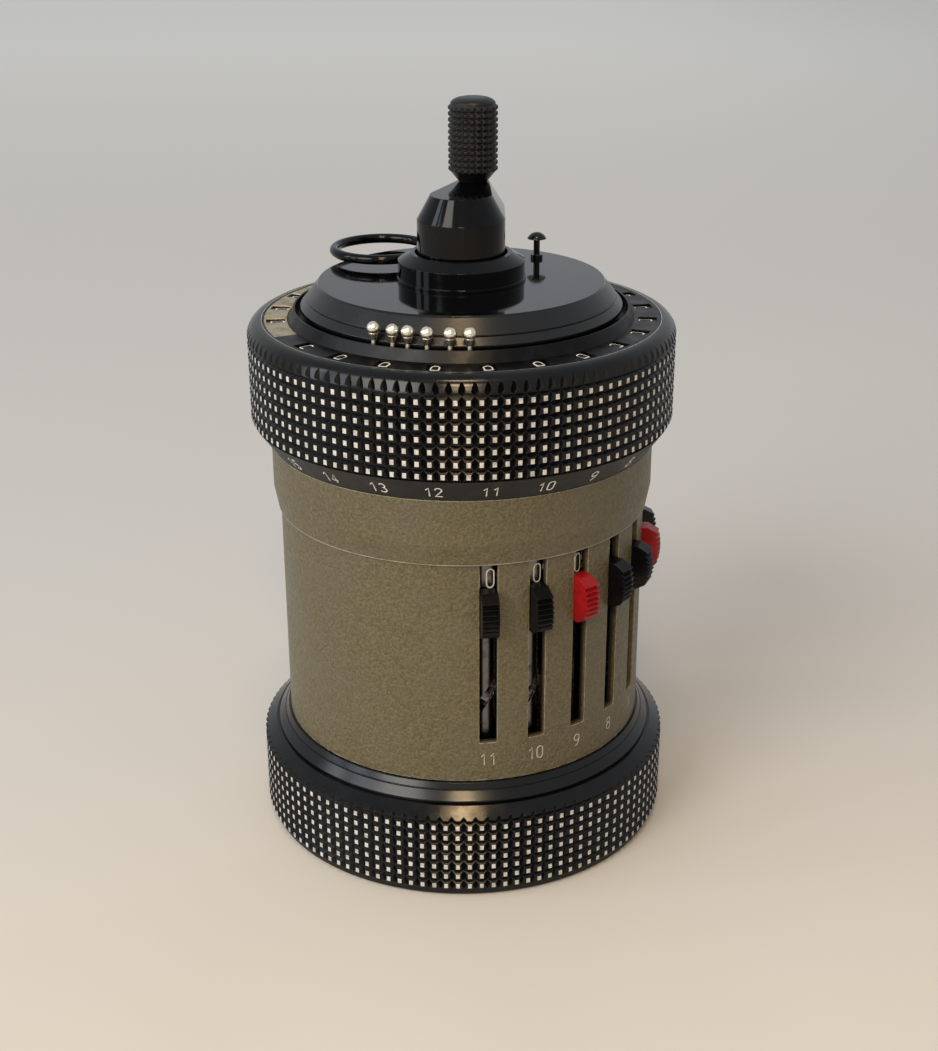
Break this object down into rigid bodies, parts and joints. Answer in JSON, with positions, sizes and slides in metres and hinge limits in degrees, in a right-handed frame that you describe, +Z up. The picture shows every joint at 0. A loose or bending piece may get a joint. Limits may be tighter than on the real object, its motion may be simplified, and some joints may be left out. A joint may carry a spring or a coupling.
{
  "type": "mechanical pocket calculator",
  "caption": "Hand-cranked cylindrical pocket calculator with setting sliders in a slotted housing, a knurled turning carriage with number dials, a finger ring for clearing, and a crank on top.",
  "frame": {"origin": "centre of the bottom face, on the table", "axes": "+Z up along the main axis, -Y towards the front with the first slot on its right"},
  "size_m": [0.066, 0.066, 0.1136],
  "materials": {
    "base_black": "satin black enamel",
    "steel": "turned",
    "knurl_black": "black with bare knurl tops",
    "black_enamel": "satin black enamel",
    "brass": "machined",
    "olive_paint": "olive grey hammered paint",
    "silver_face": "satin",
    "dial_black": "black with white figures",
    "gloss_black": "polished black enamel",
    "grip_black": "matt black",
    "bright_steel": "polished",
    "knob_red": "moulded",
    "knob_black": "moulded",
    "dark_steel": "browned"
  },
  "bodies": {
    "frame": {"base_plate": "base_black", "base_screws": "steel", "base_ring": "knurl_black", "base_collar": "black_enamel", "lower_plate": "brass", "housing": "olive_paint", "upper_plate": "brass", "transmission_shafts": "steel", "frame_tube": "steel", "retaining_nut": "steel"},
    "shaft_bush": {"shaft_bush": "brass"},
    "crank": {"main_shaft": "steel", "step_drum": "brass", "crank_arm": "gloss_black", "grip_spindle": "steel"},
    "grip": {"crank_grip": "grip_black"},
    "carriage_swivel": {"spring_washer": "steel", "carriage_spring": "steel"},
    "carriage": {"carriage_ring": "knurl_black", "number_ring": "base_black", "carriage_deck": "black_enamel", "counter_face": "silver_face", "result_dials": "dial_black", "counter_dials": "brass"},
    "clearing": {"clearing_plate": "gloss_black", "hub_collar": "gloss_black", "ring_pivot_pin": "steel", "ring_stop_pin": "black_enamel"},
    "finger_ring": {"clearing_ring": "black_enamel"},
    "reversing_lever": {"reversing_lever": "knob_black"},
    "marker_1": {"decimal_marker_1": "bright_steel"},
    "marker_2": {"decimal_marker_2": "bright_steel"},
    "marker_3": {"decimal_marker_3": "bright_steel"},
    "marker_4": {"decimal_marker_4": "bright_steel"},
    "marker_5": {"decimal_marker_5": "bright_steel"},
    "marker_6": {"decimal_marker_6": "bright_steel"},
    "slider_1": {"slider_1": "knob_black"},
    "setting_shaft_1": {"setting_shaft_1": "dark_steel"},
    "slider_2": {"slider_2": "knob_black"},
    "setting_shaft_2": {"setting_shaft_2": "dark_steel"},
    "slider_3": {"slider_3": "knob_red"},
    "setting_shaft_3": {"setting_shaft_3": "dark_steel"},
    "slider_4": {"slider_4": "knob_black"},
    "setting_shaft_4": {"setting_shaft_4": "dark_steel"},
    "slider_5": {"slider_5": "knob_black"},
    "setting_shaft_5": {"setting_shaft_5": "dark_steel"},
    "slider_6": {"slider_6": "knob_red"},
    "setting_shaft_6": {"setting_shaft_6": "dark_steel"},
    "slider_7": {"slider_7": "knob_black"},
    "setting_shaft_7": {"setting_shaft_7": "dark_steel"},
    "slider_8": {"slider_8": "knob_black"},
    "setting_shaft_8": {"setting_shaft_8": "dark_steel"},
    "slider_9": {"slider_9": "knob_red"},
    "setting_shaft_9": {"setting_shaft_9": "dark_steel"},
    "slider_10": {"slider_10": "knob_black"},
    "setting_shaft_10": {"setting_shaft_10": "dark_steel"},
    "slider_11": {"slider_11": "knob_black"},
    "setting_shaft_11": {"setting_shaft_11": "dark_steel"}
  },
  "joints": [
    {"name": "crank_turn", "type": "hinge", "parent": "frame", "child": "shaft_bush", "pos_m": [0, 0, 0.02], "axis": [0, 0, -1], "continuous": true},
    {"name": "crank_lift", "type": "slide", "parent": "shaft_bush", "child": "crank", "axis": [0, 0, 1], "range_m": [0, 0.003]},
    {"name": "grip_spin", "type": "hinge", "parent": "crank", "child": "grip", "pos_m": [0.00188, 0.01013, 0.108], "axis": [0, 0, 1], "continuous": true},
    {"name": "carriage_turn", "type": "hinge", "parent": "frame", "child": "carriage_swivel", "pos_m": [0, 0, 0.08], "axis": [0, 0, 1], "range_deg": [0, 105]},
    {"name": "carriage_lift", "type": "slide", "parent": "carriage_swivel", "child": "carriage", "axis": [0, 0, 1], "range_m": [0, 0.004], "stiffness_N_per_m": 800, "springref_m": -0.005, "deforming": ["carriage_spring"]},
    {"name": "clearing_turn", "type": "hinge", "parent": "carriage", "child": "clearing", "pos_m": [0, 0, 0.087], "axis": [0, 0, 1], "continuous": true},
    {"name": "ring_swing", "type": "hinge", "parent": "clearing", "child": "finger_ring", "pos_m": [-0.0045, 0.0186, 0.0905], "axis": [0, 0, -1], "range_deg": [0, 105]},
    {"name": "reversing_slide", "type": "slide", "parent": "frame", "child": "reversing_lever", "axis": [0, 0, 1], "range_m": [0, 0.003]},
    {"name": "marker_1_move", "type": "hinge", "parent": "carriage", "child": "marker_1", "pos_m": [0, 0, 0.085], "axis": [0, 0, 1], "range_deg": [-150, 1.1]},
    {"name": "marker_2_move", "type": "hinge", "parent": "carriage", "child": "marker_2", "pos_m": [0, 0, 0.085], "axis": [0, 0, 1], "range_deg": [-1.1, 0.25]},
    {"name": "marker_3_move", "type": "hinge", "parent": "carriage", "child": "marker_3", "pos_m": [0, 0, 0.085], "axis": [0, 0, 1], "range_deg": [-0.25, 0.8]},
    {"name": "marker_4_move", "type": "hinge", "parent": "carriage", "child": "marker_4", "pos_m": [0, 0, 0.085], "axis": [0, 0, 1], "range_deg": [-0.8, 1.3]},
    {"name": "marker_5_move", "type": "hinge", "parent": "carriage", "child": "marker_5", "pos_m": [0, 0, 0.085], "axis": [0, 0, 1], "range_deg": [-1.3, 0.75]},
    {"name": "marker_6_move", "type": "hinge", "parent": "carriage", "child": "marker_6", "pos_m": [0, 0, 0.085], "axis": [0, 0, 1], "range_deg": [-0.75, 150]},
    {"name": "slider_1_set", "type": "slide", "parent": "frame", "child": "slider_1", "axis": [0, 0, -1], "range_m": [0, 0.0171]},
    {"name": "setting_shaft_1_turn", "type": "hinge", "parent": "frame", "child": "setting_shaft_1", "pos_m": [0.00934, 0.02254, 0.04], "axis": [0, 0, 1], "range_deg": [0, 324.01]},
    {"name": "slider_2_set", "type": "slide", "parent": "frame", "child": "slider_2", "axis": [0, 0, -1], "range_m": [0, 0.0171]},
    {"name": "setting_shaft_2_turn", "type": "hinge", "parent": "frame", "child": "setting_shaft_2", "pos_m": [0.01485, 0.01936, 0.04], "axis": [0, 0, 1], "range_deg": [0, 324.01]},
    {"name": "slider_3_set", "type": "slide", "parent": "frame", "child": "slider_3", "axis": [0, 0, -1], "range_m": [0, 0.0171]},
    {"name": "setting_shaft_3_turn", "type": "hinge", "parent": "frame", "child": "setting_shaft_3", "pos_m": [0.01936, 0.01485, 0.04], "axis": [0, 0, 1], "range_deg": [0, 324.01]},
    {"name": "slider_4_set", "type": "slide", "parent": "frame", "child": "slider_4", "axis": [0, 0, -1], "range_m": [0, 0.0171]},
    {"name": "setting_shaft_4_turn", "type": "hinge", "parent": "frame", "child": "setting_shaft_4", "pos_m": [0.02254, 0.00934, 0.04], "axis": [0, 0, 1], "range_deg": [0, 324.01]},
    {"name": "slider_5_set", "type": "slide", "parent": "frame", "child": "slider_5", "axis": [0, 0, -1], "range_m": [0, 0.0171]},
    {"name": "setting_shaft_5_turn", "type": "hinge", "parent": "frame", "child": "setting_shaft_5", "pos_m": [0.02419, 0.00318, 0.04], "axis": [0, 0, 1], "range_deg": [0, 324.01]},
    {"name": "slider_6_set", "type": "slide", "parent": "frame", "child": "slider_6", "axis": [0, 0, -1], "range_m": [0, 0.0171]},
    {"name": "setting_shaft_6_turn", "type": "hinge", "parent": "frame", "child": "setting_shaft_6", "pos_m": [0.02419, -0.00318, 0.04], "axis": [0, 0, 1], "range_deg": [0, 324.01]},
    {"name": "slider_7_set", "type": "slide", "parent": "frame", "child": "slider_7", "axis": [0, 0, -1], "range_m": [0, 0.0171]},
    {"name": "setting_shaft_7_turn", "type": "hinge", "parent": "frame", "child": "setting_shaft_7", "pos_m": [0.02254, -0.00934, 0.04], "axis": [0, 0, 1], "range_deg": [0, 324.01]},
    {"name": "slider_8_set", "type": "slide", "parent": "frame", "child": "slider_8", "axis": [0, 0, -1], "range_m": [0, 0.0171]},
    {"name": "setting_shaft_8_turn", "type": "hinge", "parent": "frame", "child": "setting_shaft_8", "pos_m": [0.01936, -0.01485, 0.04], "axis": [0, 0, 1], "range_deg": [0, 324.01]},
    {"name": "slider_9_set", "type": "slide", "parent": "frame", "child": "slider_9", "axis": [0, 0, -1], "range_m": [0, 0.0171]},
    {"name": "setting_shaft_9_turn", "type": "hinge", "parent": "frame", "child": "setting_shaft_9", "pos_m": [0.01485, -0.01936, 0.04], "axis": [0, 0, 1], "range_deg": [0, 324.01]},
    {"name": "slider_10_set", "type": "slide", "parent": "frame", "child": "slider_10", "axis": [0, 0, -1], "range_m": [0, 0.0171]},
    {"name": "setting_shaft_10_turn", "type": "hinge", "parent": "frame", "child": "setting_shaft_10", "pos_m": [0.00934, -0.02254, 0.04], "axis": [0, 0, 1], "range_deg": [0, 324.01]},
    {"name": "slider_11_set", "type": "slide", "parent": "frame", "child": "slider_11", "axis": [0, 0, -1], "range_m": [0, 0.0171]},
    {"name": "setting_shaft_11_turn", "type": "hinge", "parent": "frame", "child": "setting_shaft_11", "pos_m": [0.00318, -0.02419, 0.04], "axis": [0, 0, 1], "range_deg": [0, 324.01]}
  ],
  "couplings": [
    {"joint": "setting_shaft_1_turn", "follows": "slider_1_set", "rad_per_m": 330.69},
    {"joint": "setting_shaft_2_turn", "follows": "slider_2_set", "rad_per_m": 330.69},
    {"joint": "setting_shaft_3_turn", "follows": "slider_3_set", "rad_per_m": 330.69},
    {"joint": "setting_shaft_4_turn", "follows": "slider_4_set", "rad_per_m": 330.69},
    {"joint": "setting_shaft_5_turn", "follows": "slider_5_set", "rad_per_m": 330.69},
    {"joint": "setting_shaft_6_turn", "follows": "slider_6_set", "rad_per_m": 330.69},
    {"joint": "setting_shaft_7_turn", "follows": "slider_7_set", "rad_per_m": 330.69},
    {"joint": "setting_shaft_8_turn", "follows": "slider_8_set", "rad_per_m": 330.69},
    {"joint": "setting_shaft_9_turn", "follows": "slider_9_set", "rad_per_m": 330.69},
    {"joint": "setting_shaft_10_turn", "follows": "slider_10_set", "rad_per_m": 330.69},
    {"joint": "setting_shaft_11_turn", "follows": "slider_11_set", "rad_per_m": 330.69}
  ]
}
